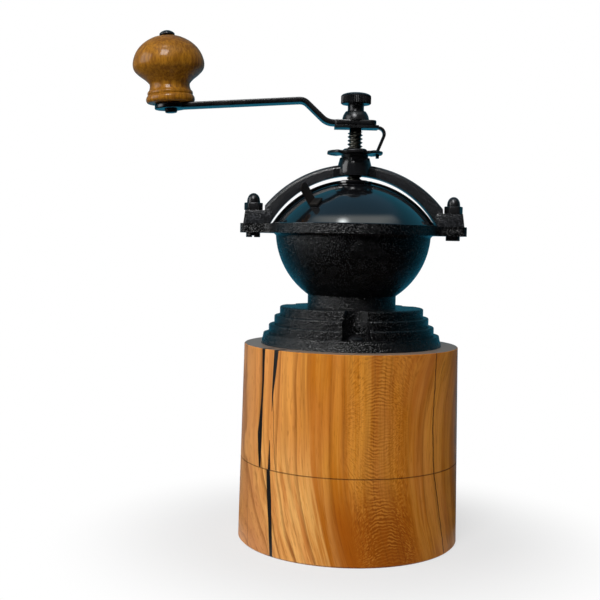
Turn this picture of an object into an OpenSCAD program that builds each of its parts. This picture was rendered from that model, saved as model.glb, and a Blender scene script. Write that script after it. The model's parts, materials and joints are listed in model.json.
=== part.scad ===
// Hand-cranked coffee mill with a turned wooden base, a cast hopper and a bridge over a domed cover.
// Millimetres. The origin is the centre of the base's underside, +Z is up and -Y is the front.

/* [Wooden base] */
// Radius of the wood at the table
foot_r = 60.8; // [57:0.2:66]
// Radius of the wood at its top
top_r = 59; // [56:0.2:64]
// Height of the wood, cup and block together
wood_h = 107.6; // [96:0.2:120]
// Height of the catch cup up to the seam
cup_h = 45.1; // [38:0.1:52]
// Thickness of the cup's floor
cup_floor = 10; // [6:0.5:14]
// Inner radius of the catch cup
cup_r = 46; // [40:0.5:48]
// Radius of the curve between the cup's floor and wall
cup_fillet = 9; // [4:0.5:14]
// Radius of the spigot that centres the block in the cup
spigot_r = 51.5; // [50:0.1:54]
// Length of that spigot
spigot_h = 6; // [4:0.5:9]
// Play of the spigot in the cup
spigot_gap = 0.3; // [0.2:0.05:0.5]
// Radius of the bore through the block
bore_r = 35; // [33.5:0.25:36]
// Chamfer at the foot of the wood
foot_chamfer = 0.8; // [0.3:0.1:1.5]
// Chamfer at the top of the wood and at the seam
edge_chamfer = 0.3; // [0.1:0.1:0.6]
// Depth of the resin in the block's cracks, from the skin at the top
resin_depth = 7; // [4:0.25:9]
// Wall between the spigot's seat and the resin in the cup's crack
resin_wall = 0.2; // [0.1:0.05:0.6]

/* [Base plate] */
// Radius of the stepped casting at the wood
plate_r = 49.75; // [48.5:0.25:52]
// Height of its lowest step
foot_h = 5.8; // [4.5:0.1:7]
// Draft of the lowest step
foot_draft = 1.2; // [0.5:0.1:1.8]
// Radial width of the ledge on the lowest step
ledge_w = 2.85; // [2:0.05:4]
// Number of upper steps
step_count = 3; // [2:1:3]
// Height of an upper step
step_h = 4.93; // [4.4:0.05:6]
// Radial width of an upper step
step_w = 3; // [2.5:0.1:3.4]
// Rounding of the step edges
step_round = 0.9; // [0.4:0.1:1.5]
// Distance of the screw circle from the plate's edge
screw_inset = 6.75; // [6:0.25:8]
// Width of a screw pocket
pocket_w = 14.4; // [11:0.2:16]
// Thickness of the web between burr and neck
web_t = 10; // [8.5:0.5:11]
// Length of the burr housing below the plate
skirt_h = 12; // [10:0.5:16]
// Gap between the burr housing and the block's bore
skirt_gap = 4; // [3.5:0.1:4.5]

/* [Hopper] */
// Outer radius of the hopper bowl
bowl_r = 42.8; // [41:0.2:46]
// Wall of the bowl
bowl_wall = 4; // [3:0.25:5]
// Height of the bowl's centre above the base plate
bowl_lift = 41.8; // [40.5:0.2:44]
// Outer radius of the neck
neck_r = 24.4; // [23.6:0.1:26]
// Radius of the feed bore in the neck
feed_r = 17; // [16:0.1:17.4]
// Width of the rim beyond the bowl
rim_w = 3.7; // [3.4:0.1:5]
// Thickness of the rim and ears
rim_t = 5.1; // [3.8:0.1:6]
// Height of the rim above the bowl's centre
rim_up = 3.4; // [1.6:0.1:4]
// Fillet below the rim
rim_fillet = 2.5; // [1.2:0.1:3]
// Width of an ear
ear_w = 14; // [13:0.5:18]
// Corner radius of an ear
ear_round = 3; // [1.5:0.5:5]
// Fillet between ear and rim
ear_fillet = 5; // [3:0.5:8]

/* [Domed cover] */
// Rise of the dome above the rim
dome_rise = 25; // [23:0.25:27]
// Distance of the dome's foot from the rim's edge
dome_inset = 1.5; // [1.2:0.1:2]
// Sheet thickness of cover and door
sheet = 1; // [0.8:0.1:1.2]
// Running gap between cover and door
door_gap = 0.45; // [0.35:0.05:0.7]
// Angle by which cover and door each pass the middle
overlap_a = 5; // [3:0.5:8]
// Radius of the flat land at the top of the dome
land_r = 10; // [9:0.5:12]
// Depth of the seat of the cover's hem in the rim
hem_seat = 0.8; // [0.6:0.1:1.2]
// Height of the cover's hem
hem_h = 1.2; // [1:0.1:1.6]
// Width of the hem beyond the dome's foot
hem_w = 0.5; // [0.3:0.1:0.7]
// Radius of the hole through the eyelet
eyelet_r = 4.7; // [4.6:0.1:5]
// Wall of the eyelet
eyelet_t = 0.9; // [0.7:0.1:1.2]
// Width of the eyelet's flanges
eyelet_lip = 1.5; // [1.4:0.1:2.4]
// Thickness of the eyelet's upper flange
eyelet_h = 0.6; // [0.6:0.1:1.2]
// Direction of the finger tab on the closed door
tab_a = -133.5; // [-140:0.5:-120]
// Slope of the dome where the tab stands
tab_el = 49; // [44:1:52]
// Length of the finger tab
tab_l = 13; // [10:0.5:15]
// Width of the finger tab
tab_w = 5.6; // [4:0.2:7]
// Thickness of the finger tab
tab_t = 1.2; // [0.8:0.1:1.6]

/* [Bridge] */
// Gap between the dome's land and the bridge
arch_gap = 3.1; // [2.6:0.1:6]
// Gap between the dome's foot and the bridge's legs
arch_side_gap = 1; // [0.8:0.1:2]
// Thickness of the bridge at its top
arch_t = 6.2; // [6:0.2:9]
// Amount by which the outer radius exceeds the inner one
arch_flare = 10.5; // [9.5:0.1:12]
// Depth of the bridge's bar from front to back
arch_w = 8.6; // [7:0.1:12]
// Rounding of the bridge's outer edges
arch_round = 2.4; // [0.8:0.1:3]
// Thickness of a leg at its foot
leg_t = 3; // [2.6:0.1:4]
// Depth of the bridge's feet from front to back
pad_w = 12.6; // [12:0.1:13]
// Height of the bridge's feet
pad_h = 7.2; // [6:0.2:10]
// Distance of the bolts from the legs
bolt_off = 6.3; // [6.1:0.1:8]
// Length of a foot beyond its bolt
pad_end = 5.3; // [4.9:0.1:6]
// Draft of the foot's outer end
pad_draft = 1; // [0.4:0.1:1.5]
// Length of an ear beyond its bolt
ear_end = 7; // [6.4:0.1:9]
// Radius of the bearing boss
boss_r = 9.2; // [8.4:0.1:11]
// Amount by which the boss narrows at its top
boss_taper = 1; // [0.4:0.1:1.6]
// Height of the boss above the bridge
boss_up = 3.5; // [1.8:0.1:4]
// Height of the boss's straight part
boss_h = 5.7; // [4:0.1:6]

/* [Bolts and screws] */
// Radius of the bridge bolts
bolt_r = 2.5; // [2:0.1:3]
// Head radius of the bridge bolts
bolt_head_r = 3.9; // [3.6:0.1:4.5]
// Head height of the bridge bolts
bolt_head_h = 2.5; // [2:0.1:3.2]
// Width across the flats of an acorn nut
nut_af = 9.1; // [8:0.1:10]
// Height of an acorn nut's hexagon
nut_h = 4.4; // [3.6:0.1:6]
// Radius of an acorn nut's dome
nut_dome_r = 3.7; // [3.4:0.1:4]
// Radius of the wood screws
wood_screw_r = 2.1; // [1.7:0.1:2.4]
// Length of the wood screws below the plate
wood_screw_l = 22; // [16:1:28]
// Head radius of the wood screws
wood_head_r = 4.2; // [3.8:0.1:5]
// Radius of the machine screws inside
screw_r = 2; // [1.6:0.1:2.1]
// Head radius of those screws
screw_head_r = 3.3; // [3:0.1:3.4]
// Head height of those screws
screw_head_h = 2.6; // [2:0.1:3]
// Length of the bowl screws' thread in the neck
bowl_grip = 5.5; // [4:0.25:6]
// Length of the bearing screws' thread in the housing
bearing_grip = 8; // [6:0.5:12]
// Radial play of threads and pressed pieces
fit_gap = 0.05; // [0.02:0.01:0.08]
// Radial play of holes that screws pass through
hole_gap = 0.2; // [0.1:0.05:0.3]
// Depth of a tapped hole beyond its screw
tap_end = 0.5; // [0.3:0.1:0.8]
// Depth of the bowl screws' heads in the web
head_sink = 0.4; // [0.2:0.1:0.8]
// Width of a screw slot
slot_w = 1.3; // [1:0.1:1.6]
// Depth of a screw slot
slot_d = 0.9; // [0.6:0.1:1.2]

/* [Spindle] */
// Radius of the spindle
shaft_r = 4; // [3.7:0.05:4.2]
// Radial play of the spindle in its bearings
run_gap = 0.05; // [0.03:0.01:0.09]
// Side of the square that carries clip and crank
square_w = 5.4; // [4.8:0.1:5.8]
// Side of the larger square below it
shoulder_w = 6.3; // [6.2:0.05:6.6]
// Height of that larger square
shoulder_h = 2.7; // [1.2:0.1:3]
// Radius of the threaded stud on top
stud_r = 2.5; // [2.1:0.1:2.6]
// Length of the stud above the crank
stud_l = 11; // [9:0.5:12]
// Height of the clip above the bridge's boss
clip_lift = 16.1; // [15:0.1:19]

/* [Burrs] */
// Outer radius of the outer burr
burr_r = 24; // [23.4:0.1:24.6]
// Wall of the outer burr at its foot
burr_wall = 3.5; // [3:0.1:4]
// Radial grinding gap at the foot
grind_gap = 0.75; // [0.6:0.05:1.2]
// Height of the inner burr's foot above the bearing
burr_lift = 1.8; // [1.4:0.1:2.4]
// Radius of the inner burr at its top
cone_top_r = 8.6; // [8:0.1:9.5]
// Height of the inner burr above the outer one
cone_up = 4; // [2:0.5:6]
// Chamfer at the inner burr's top
cone_chamfer = 1; // [0.5:0.1:1.5]
// Height of the fine band at the inner burr's foot
band_h = 7; // [5:0.5:9]
// Number of grooves in the outer burr
ring_teeth = 24; // [18:1:28]
// Number of fine grooves in the inner burr
fine_teeth = 28; // [20:1:32]
// Number of coarse flutes in the inner burr
flutes = 6; // [4:1:7]
// Width of a fine groove
groove_w = 1.5; // [1:0.1:1.8]
// Width of a coarse flute
flute_w = 4.6; // [3.5:0.1:5]
// Slant of the grooves
groove_a = 14; // [8:1:20]
// Radius of the cross pin
pin_r = 1.5; // [1:0.1:1.8]
// Depth of the cross pin below the inner burr's top
pin_drop = 5; // [4:0.5:6]

/* [Lower bearing] */
// Thickness of the bearing's ring
bearing_t = 4; // [3:0.25:6]
// Radius of the bearing's hub
hub_r = 9; // [8:0.25:10]
// Length of the hub
hub_h = 10; // [8:0.5:14]
// Width of the bearing's arms
arm_w = 6; // [4:0.5:8]
// Wall of the bush
bush_t = 2; // [1.4:0.1:2.4]

/* [Grind wheel] */
// Radius of the wheel
wheel_r = 15.4; // [14.6:0.1:17]
// Thickness of the wheel
wheel_t = 1.6; // [1.2:0.1:2.2]
// Number of notches
notch_count = 6; // [5:1:8]
// Width of a notch
notch_w = 4.8; // [4.7:0.1:5.4]
// Radius of the notches' bottom
notch_r = 10; // [9.4:0.1:10.2]
// Radius of the hub below the wheel
wheel_hub_r = 7.4; // [6.4:0.1:8]
// Height of the hub below the wheel
wheel_hub_h = 2; // [1.5:0.1:3]
// Height of the collar above the wheel
collar_h = 1.5; // [1:0.1:2.5]

/* [Locking clip] */
// Sheet thickness of the clip
clip_t = 1.6; // [1:0.1:2]
// Width of the clip under the crank
clip_w = 12.4; // [11:0.2:14]
// Length of the clip towards the arm
clip_back = 11.5; // [6:0.5:13]
// Distance from the axis to the finger's bend
clip_reach = 12.4; // [11.2:0.1:13]
// Radius of the finger's bend
clip_bend = 3.5; // [3:0.1:4]
// Angle of the finger's bend
clip_a = 112; // [108:1:118]
// Width of the finger
finger_w = 3.8; // [3:0.1:4.2]
// Reach of the finger's tip below the wheel
finger_tip = 1.9; // [1:0.1:2]
// Distance of the finger from the middle of its notch
finger_in = 0.3; // [0:0.1:1.2]

/* [Crank] */
// Distance between spindle and knob
crank_len = 101.6; // [85:0.2:125]
// Thickness of the arm
arm_t = 2.8; // [2.4:0.1:3.6]
// Width of the arm
crank_w = 11; // [10:0.2:14]
// Width of the arm's end at the spindle
crank_end_w = 13; // [12:0.2:16]
// Length of the arm beyond the spindle
crank_back = 11.2; // [9:0.1:13]
// Corner radius of that end
crank_round = 3; // [1.5:0.5:5]
// Radius of the eye under the knob
eye_r = 8.8; // [7.5:0.1:10]
// Distance from the spindle to the joggle
joggle_x = 12.2; // [11:0.1:16]
// Rise of the joggle
joggle_rise = 11.8; // [8:0.2:16]
// Slope of the joggle
joggle_a = 43; // [38:1:50]
// Radius of the lower bend
bend_low = 9; // [6:0.5:10]
// Radius of the upper bend
bend_high = 6; // [4:0.5:8]
// Droop of the arm towards the knob
droop = 3.8; // [2:0.1:6]

/* [Thumb nut] */
// Radius of the nut's domed skirt
skirt_nut_r = 7.4; // [6.4:0.1:8]
// Height of the domed skirt
skirt_nut_h = 5; // [4:0.1:6]
// Radius of the nut's neck
neck_nut_r = 4.6; // [4:0.1:5.2]
// Length of the nut's neck
neck_nut_h = 3.9; // [2.6:0.1:5]
// Radius of the knurled head
head_nut_r = 8.3; // [7.2:0.1:9.5]
// Height of the knurled rim
head_nut_h = 4.2; // [3.8:0.1:6]
// Rise of the head's crown
crown_h = 2.2; // [1.5:0.1:3.5]
// Chamfer below the knurled rim
nut_chamfer = 0.5; // [0.3:0.1:1]

/* [Knob] */
// Largest radius of the knob
knob_r = 19.5; // [17:0.1:22]
// Height of the knob
knob_h = 36.8; // [34:0.2:40]
// Height of the largest radius above the arm
knob_mid = 21; // [18.6:0.1:22]
// Radius lost on the short slope below it
knob_edge = 0.6; // [0.6:0.1:1.8]
// Height of that slope
knob_edge_h = 2.6; // [1.6:0.1:3.4]
// Radius of the knob's foot
knob_foot_r = 13.3; // [12.4:0.1:15]
// Height of the foot's roll
knob_foot_h = 4.4; // [3.8:0.1:5]
// Radius of the bead above the foot
knob_bead_r = 12.1; // [11.6:0.1:13]
// Height of the bead
knob_bead_h = 2.4; // [2:0.1:3]
// Radius of the knob's neck
knob_neck_r = 11; // [10:0.1:11.5]
// Height of the neck above the arm
knob_neck_h = 9.4; // [8.4:0.1:10]
// Play between knob and arm
knob_gap = 0.35; // [0.2:0.05:0.6]
// Radius of the knob's pin
knob_pin_r = 2.6; // [2.2:0.1:3]
// Play of the knob on its pin
knob_play = 0.1; // [0.06:0.01:0.2]
// Head radius of the pin
pin_head_r = 4.2; // [3.6:0.1:5]
// Head height of the pin
pin_head_h = 2.8; // [2:0.1:3.4]
// Radius of the riveted end below the arm
rivet_r = 3.7; // [3.2:0.1:4.5]
// Height of the riveted end
rivet_h = 2; // [1.2:0.1:3]

/* [Hidden] */
$fn = 96;
far = 400;
// Overlap of touching solids, and overrun of cuts
slit = 0.01;
over = 1;
// Depth by which the fillet under the rim cuts the bowl
fillet_bite = 0.1;
// Heights of the casting and the hopper
seat_z = wood_h;
plate_top = seat_z + foot_h + step_count * step_h;
ledge_z = seat_z + foot_h;
burr_top = plate_top - web_t;
skirt_z = seat_z - skirt_h;
bowl_z = plate_top + bowl_lift;
rim_top = bowl_z + rim_up;
rim_low = rim_top - rim_t;
bowl_in_r = bowl_r - bowl_wall;
neck_h = bowl_lift - sqrt(pow(bowl_r, 2) - pow(neck_r, 2)) + over;
rim_r = bowl_r + rim_w;
// Radii of the casting
step_r = plate_r - foot_draft - ledge_w;
skirt_r = bore_r - skirt_gap;
screw_c = plate_r - screw_inset;
bowl_screw_c = (neck_r + feed_r) / 2;
bearing_screw_c = (burr_r + skirt_r) / 2;
plate_a = [-90, 30, 150];
inner_a = [90, 210, 330];
// The dome, a sphere cut at the rim
dome_base = rim_r - dome_inset;
dome_r = (pow(dome_base, 2) + pow(dome_rise, 2)) / (2 * dome_rise);
dome_z = rim_top + dome_rise - dome_r;
door_r = dome_r - sheet - door_gap;
hem_z = rim_top - hem_seat;
hem_r = dome_base + hem_w;
door_foot = hem_z + door_gap;
hem_in = sqrt(pow(door_r, 2) - pow(door_foot - dome_z, 2)) + door_gap;
land_z = dome_z + sqrt(pow(dome_r, 2) - pow(land_r, 2));
door_land = land_z - sheet - door_gap;
eyelet_out = eyelet_r + eyelet_t;
eyelet_low = door_land - sheet - door_gap;
// The bridge, two circles through its crown and its feet
arch_under = land_z + arch_gap;
arch_top = arch_under + arch_t;
leg_in = dome_base + arch_side_gap;
arch_in_r = (pow(leg_in, 2) + pow(arch_under - rim_top, 2)) / (2 * (arch_under - rim_top));
arch_out_r = arch_in_r + arch_flare;
leg_out = leg_in + leg_t;
bolt_x = leg_out + bolt_off;
boss_top = arch_top + boss_up;
boss_z = arch_under + boss_h;
pad_z = rim_top + pad_h;
// Screw heads and nuts; the slots' turns are for the right bolt and the left one
nut_wall_h = 0.4 * nut_dome_r;
nut_edge_r = 0.62 * nut_af;
bolt_grip = nut_h + 0.5 * nut_dome_r;
slot_a = [40, 90];
wood_head_h = 0.7 * wood_head_r;
wood_crown_r = 1.3 * wood_head_r;
recess = [1.2 * wood_head_r, 1.1, 3];
wood_tip_l = 2 * wood_screw_r;
wood_tip_r = 0.3;
// The spindle's upper end
wheel_z = boss_top + run_gap;
flange_z = wheel_z + wheel_hub_h;
clip_z = boss_top + clip_lift;
crank_z = clip_z + clip_t;
crank_top = crank_z + arm_t;
shoulder_z = clip_z - shoulder_h;
// The burrs and the lower bearing, with the small steps between their faces
ring_step = 0.4;
band_step = 1;
bearing_step = 0.5;
collar_w = 2;
shaft_end = 1;
groove_run = 8;
bearing_z = skirt_z - bearing_t;
hub_z = skirt_z - hub_h;
ring_low_r = burr_r - burr_wall;
ring_top_r = feed_r - ring_step;
ring_slope = (ring_low_r - ring_top_r) / (burr_top - skirt_z);
cone_z = skirt_z + burr_lift;
cone_r = ring_low_r - ring_slope * burr_lift - grind_gap;
cone_top = burr_top + cone_up;
band_z = cone_z + band_h;
band_r = cone_r - band_h * ring_slope - band_step;
pin_z = cone_top - pin_drop;
// The crank's centre line: straight, bend, joggle, bend, drooping run
joggle_l = (joggle_rise - (bend_low + bend_high) * (1 - cos(joggle_a))) / sin(joggle_a);
bend_end = [-joggle_x - bend_low * sin(joggle_a), bend_low * (1 - cos(joggle_a))];
rise_end = bend_end + joggle_l * [-cos(joggle_a), sin(joggle_a)];
high_c = rise_end + bend_high * [-sin(joggle_a), -cos(joggle_a)];
run_start = high_c + bend_high * [-sin(droop), cos(droop)];
function run_at(x) = run_start[1] - (run_start[0] - x) * tan(droop);
crank_path = concat(
  [[crank_back + over, 0]],
  [for (a = [0 : joggle_a / 6 : joggle_a + slit])
    [-joggle_x - bend_low * sin(a), bend_low * (1 - cos(a))]],
  [for (k = [0 : 6])
    let (a = joggle_a - k * (joggle_a + droop) / 6)
    high_c + bend_high * [sin(a), cos(a)]],
  [[-crank_len - eye_r - over, run_at(-crank_len - eye_r - over)]]);
// The clip's centre line from the plate to the finger's tip
clip_end = [clip_reach + clip_bend * sin(clip_a), -clip_bend * (1 - cos(clip_a))];
tip_x = (wheel_r + notch_r) / 2 - finger_in;
finger_l = (clip_end[0] - tip_x) / -cos(clip_a);
clip_path = concat(
  [[0, 0]],
  [for (k = [0 : 8])
    let (a = k * clip_a / 8)
    [clip_reach + clip_bend * sin(a), -clip_bend * (1 - cos(a))]],
  [clip_end + finger_l * [cos(clip_a), -sin(clip_a)],
   [tip_x, flange_z - finger_tip - clip_z - clip_t / 2]]);
// Cracks in the wood: how far in they reach, the direction of each,
// and [sideways, share of the height, width] along it
body_crack_in = top_r - resin_depth;
cup_crack_in = spigot_r + spigot_gap + resin_wall;
body_cracks = [
  [-143.8, [[0.4, 1.02, 2.6], [0.8, 0.75, 1.6], [0.3, 0.53, 1.8], [-0.8, 0.29, 4],
            [-0.5, 0.14, 3], [0.2, -0.02, 1.2]]],
  [-134.5, [[1.2, 1.02, 3.2], [0.2, 0.83, 2.4], [-0.8, 0.65, 1.2], [-1, 0.49, 0.3]]],
  [-136.5, [[0, 0.25, 0.3], [0.1, 0.13, 1.2], [0.3, -0.02, 2.2]]]];
cup_cracks = [
  [-136, [[-1, 1.02, 2.6], [0.2, 0.71, 3.2], [1.4, 0.44, 2.6], [3.2, -0.02, 2]]]];
// Knob and pin
rivet_taper = 0.6;
pin_crown_r = 1.4 * pin_head_r;

// A strip of constant thickness along a path of points
function side_of(p, i) =
  let (a = p[max(i - 1, 0)], b = p[min(i + 1, len(p) - 1)], d = (b - a) / norm(b - a))
  [-d[1], d[0]];
module strip(p, t) {
  left = [for (i = [0 : len(p) - 1]) p[i] + side_of(p, i) * t / 2];
  right = [for (i = [len(p) - 1 : -1 : 0]) p[i] - side_of(p, i) * t / 2];
  polygon(concat(left, right));
}

// Draws its children at each angle, at a distance from the axis
module around(angles, r, z) {
  for (a = angles)
    rotate([0, 0, a]) translate([r, 0, z]) children();
}

// A round bar between two heights
module bar(r, z0, z1) {
  translate([0, 0, z0]) cylinder(r = r, h = z1 - z0);
}

// The wood's outer cone between two heights, with small chamfers
function wood_r(z) = foot_r + (top_r - foot_r) * z / wood_h;
module wood_cone(z0, z1, low, high) {
  rotate_extrude()
    polygon([[0, z0], [wood_r(z0) - low, z0], [wood_r(z0 + low), z0 + low],
             [wood_r(z1 - high), z1 - high], [wood_r(z1) - high, z1], [0, z1]]);
}

// The space of cracks between two heights of the wood
module cracks(list, inner, z0, z1) {
  for (c = list) {
    left = [for (p = c[1]) [p[0] - p[2] / 2, z0 + p[1] * (z1 - z0)]];
    right = [for (p = c[1]) [p[0] + p[2] / 2, z0 + p[1] * (z1 - z0)]];
    n = len(right) - 1;
    rotate([0, 0, c[0]])
      translate([inner, 0, 0])
        rotate([90, 0, 90])
          linear_extrude(max(foot_r, top_r) - inner + 2 * over)
            polygon(concat(left, [for (i = [n : -1 : 0]) right[i]]));
  }
}

// Lower cup that catches the ground coffee
module catch_cup() color([0.76, 0.50, 0.24]) difference() {
  wood_cone(0, cup_h, foot_chamfer, edge_chamfer);
  rotate_extrude() {
    translate([0, cup_floor]) square([cup_r - cup_fillet, cup_h]);
    translate([0, cup_floor + cup_fillet]) square([cup_r, cup_h]);
    translate([cup_r - cup_fillet, cup_floor + cup_fillet]) circle(cup_fillet);
  }
  bar(spigot_r + spigot_gap, cup_h - spigot_h - spigot_gap, cup_h + over);
  cracks(cup_cracks, cup_crack_in, 0, cup_h);
}

// Resin in the cup's crack
module cup_resin() color([0.03, 0.03, 0.03]) intersection() {
  cracks(cup_cracks, cup_crack_in, 0, cup_h);
  wood_cone(0, cup_h, foot_chamfer, edge_chamfer);
}

// Upper block that carries the mill
module mill_body() color([0.76, 0.50, 0.24]) difference() {
  union() {
    wood_cone(cup_h, wood_h, edge_chamfer, edge_chamfer);
    bar(spigot_r, cup_h - spigot_h, cup_h + over);
  }
  bar(bore_r, 0, far);
  around(plate_a, screw_c, seat_z - wood_screw_l - tap_end)
    cylinder(r = wood_screw_r + fit_gap, h = wood_screw_l + tap_end + over);
  cracks(body_cracks, body_crack_in, cup_h, wood_h);
}

// Resin in the block's cracks
module body_resin() color([0.03, 0.03, 0.03]) intersection() {
  cracks(body_cracks, body_crack_in, cup_h, wood_h);
  wood_cone(cup_h, wood_h, edge_chamfer, edge_chamfer);
}

// Half outline of a round step with a rounded upper edge
module step_outline(r, z0, z1) {
  translate([0, z0]) square([r, z1 - z0 - step_round]);
  translate([0, z0]) square([r - step_round, z1 - z0]);
  translate([r - step_round, z1 - step_round]) circle(step_round);
}

// Stepped casting with the burr housing below
module base_plate() color([0.09, 0.09, 0.10]) difference() {
  union() {
    rotate_extrude() {
      polygon([[0, seat_z], [plate_r, seat_z], [plate_r - foot_draft, ledge_z], [0, ledge_z]]);
      for (k = [0 : step_count - 1])
        step_outline(step_r - k * step_w, ledge_z + k * step_h - slit, ledge_z + (k + 1) * step_h);
    }
    bar(skirt_r, skirt_z, ledge_z);
  }
  bar(burr_r + fit_gap, skirt_z - over, burr_top);
  bar(feed_r, skirt_z, far);
  around(plate_a, screw_c, ledge_z) {
    cylinder(d = pocket_w, h = far);
    translate([0, -pocket_w / 2, 0]) cube([far, pocket_w, far]);
    translate([0, 0, -foot_h - over]) cylinder(r = wood_screw_r + hole_gap, h = far);
  }
  around(inner_a, bowl_screw_c, burr_top - over) {
    cylinder(r = screw_r + hole_gap, h = far);
    cylinder(r = screw_head_r + hole_gap, h = over + screw_head_h + head_sink);
  }
  around(inner_a, bearing_screw_c, skirt_z - over)
    cylinder(r = screw_r + fit_gap, h = over + bearing_grip + tap_end);
}

// Three wood screws in the pockets
module base_screws() color([0.12, 0.12, 0.12]) around(plate_a, screw_c, ledge_z) {
  difference() {
    intersection() {
      cylinder(r = wood_head_r, h = wood_head_h);
      translate([0, 0, wood_head_h - wood_crown_r]) sphere(wood_crown_r);
    }
    for (a = [45, 135])
      rotate([0, 0, a]) translate([0, 0, wood_head_h]) cube(recess, center = true);
  }
  translate([0, 0, wood_tip_l - foot_h - wood_screw_l])
    cylinder(r = wood_screw_r, h = foot_h + wood_screw_l - wood_tip_l);
  translate([0, 0, -foot_h - wood_screw_l]) cylinder(r1 = wood_tip_r, r2 = wood_screw_r, h = wood_tip_l);
}

// Outline of the rim with its two ears, seen from above
module rim_outline() {
  half_w = ear_w / 2;
  end_x = bolt_x + ear_end;
  fillet_x = sqrt(pow(rim_r + ear_fillet, 2) - pow(half_w + ear_fillet, 2));
  circle(rim_r);
  for (s = [0, 180])
    rotate(s) {
      translate([0, -half_w]) square([end_x - ear_round, ear_w]);
      translate([0, -half_w + ear_round]) square([end_x, ear_w - 2 * ear_round]);
      for (t = [-1, 1]) {
        translate([end_x - ear_round, t * (half_w - ear_round)]) circle(ear_round);
        difference() {
          polygon([[0, 0], [fillet_x, 0], [fillet_x, t * (half_w + ear_fillet)]]);
          translate([fillet_x, t * (half_w + ear_fillet)]) circle(ear_fillet);
        }
      }
    }
}

// Cast bowl with neck, rim and ears
module hopper_bowl() color([0.08, 0.08, 0.09]) difference() {
  fillet_z = rim_low - rim_fillet;
  fillet_c = sqrt(pow(bowl_r + rim_fillet, 2) - pow(bowl_z - fillet_z, 2)) - fillet_bite;
  union() {
    rotate_extrude() {
      intersection() {
        translate([0, bowl_z]) circle(bowl_r);
        translate([0, plate_top]) square([far, rim_low + over - plate_top]);
      }
      translate([0, plate_top]) square([neck_r, neck_h]);
      difference() {
        translate([fillet_c - 2 * rim_fillet, fillet_z]) square([2 * rim_fillet, rim_fillet + over]);
        translate([fillet_c, fillet_z + fillet_bite]) circle(rim_fillet);
      }
    }
    translate([0, 0, rim_low]) linear_extrude(rim_t) rim_outline();
  }
  rotate_extrude() {
    intersection() {
      translate([0, bowl_z]) circle(bowl_in_r);
      translate([0, plate_top]) square([far, bowl_lift]);
    }
    translate([0, bowl_z]) square([bowl_in_r, far]);
    square([feed_r, bowl_z]);
  }
  bar(hem_r + fit_gap, hem_z, far);
  around(inner_a, bowl_screw_c, plate_top - over)
    cylinder(r = screw_r + fit_gap, h = over + bowl_grip + tap_end);
  around([0, 180], bolt_x, 0) cylinder(r = bolt_r + hole_gap, h = far);
}

// A cheese-head screw that points up from its seat
module machine_screw(r, l, head_r, head_h) {
  cylinder(r = r, h = l);
  difference() {
    translate([0, 0, -head_h]) cylinder(r = head_r, h = head_h);
    translate([0, 0, -head_h]) cube([3 * head_r, slot_w, 2 * slot_d], center = true);
  }
}

// Three screws that hold the bowl on the plate
module bowl_screws() color([0.55, 0.55, 0.56])
  around(inner_a, bowl_screw_c, burr_top + screw_head_h + head_sink)
    machine_screw(screw_r, web_t - screw_head_h - head_sink + bowl_grip, screw_head_r, screw_head_h);

// Arched bridge with its bearing boss
module bridge_arch() color([0.10, 0.10, 0.11]) difference() {
  union() {
    intersection() {
      translate([0, 0, arch_top - arch_out_r])
        rotate([90, 0, 0]) rotate_extrude() translate([0, -arch_w / 2]) {
          square([arch_out_r - arch_round, arch_w]);
          translate([0, arch_round]) square([arch_out_r, arch_w - 2 * arch_round]);
          for (y = [arch_round, arch_w - arch_round])
            translate([arch_out_r - arch_round, y]) circle(arch_round);
        }
      translate([-leg_out, -far / 2, rim_top]) cube([2 * leg_out, far, far]);
    }
    rotate([90, 0, 0]) linear_extrude(pad_w, center = true)
      for (m = [0, 1]) mirror([m, 0])
        polygon([[leg_in - over, rim_top], [bolt_x + pad_end, rim_top],
                 [bolt_x + pad_end - pad_draft, pad_z], [leg_in - over, pad_z]]);
    bar(boss_r, arch_under, boss_z);
    translate([0, 0, boss_z]) cylinder(r1 = boss_r, r2 = boss_r - boss_taper, h = boss_top - boss_z);
  }
  difference() {
    translate([0, 0, arch_under - arch_in_r]) rotate([90, 0, 0])
      cylinder(r = arch_in_r, h = far, center = true);
    bar(boss_r, arch_under - slit, far);
  }
  bar(shaft_r + run_gap, 0, far);
  around([0, 180], bolt_x, 0) cylinder(r = bolt_r + hole_gap, h = far);
}

// Two slotted bolts through ears and bridge
module bridge_bolts() color([0.10, 0.10, 0.10])
  for (k = [0, 1])
    around([180 * k], bolt_x, rim_low) rotate([0, 0, slot_a[k]])
      machine_screw(bolt_r, rim_t + pad_h + bolt_grip, bolt_head_r, bolt_head_h);

// Two acorn nuts
module acorn_nuts() color([0.10, 0.10, 0.10]) around([0, 180], bolt_x, pad_z)
  difference() {
    union() {
      intersection() {
        cylinder(d = nut_af / cos(30), h = nut_h, $fn = 6);
        translate([0, 0, nut_h / 2]) sphere(nut_edge_r);
      }
      translate([0, 0, nut_h - slit]) cylinder(r = nut_dome_r, h = nut_wall_h);
      translate([0, 0, nut_h + nut_wall_h - slit]) intersection() {
        sphere(nut_dome_r);
        cylinder(r = far, h = far);
      }
    }
    translate([0, 0, -over]) cylinder(r = bolt_r + fit_gap, h = over + bolt_grip + tap_end);
  }

// A dome of sheet metal between two angles, flat on top and closed round the pivot
module dome_shell(r, land, foot_z, a0, a1, hole) {
  sweep = a1 - a0;
  difference() {
    rotate([0, 0, a0]) rotate_extrude(angle = sweep) dome_outline(r, land, foot_z);
    bar(hole, 0, far);
  }
  difference() {
    bar(land_r - over, land - sheet, land);
    bar(hole, 0, far);
  }
}
module dome_outline(r, land, foot_z) {
  intersection() {
    difference() {
      translate([0, dome_z]) circle(r, $fn = 180);
      translate([0, dome_z]) circle(r - sheet, $fn = 180);
    }
    translate([land_r - over, foot_z]) square([far, land - foot_z]);
  }
  translate([0, land - sheet]) square([land_r, sheet]);
}

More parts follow.
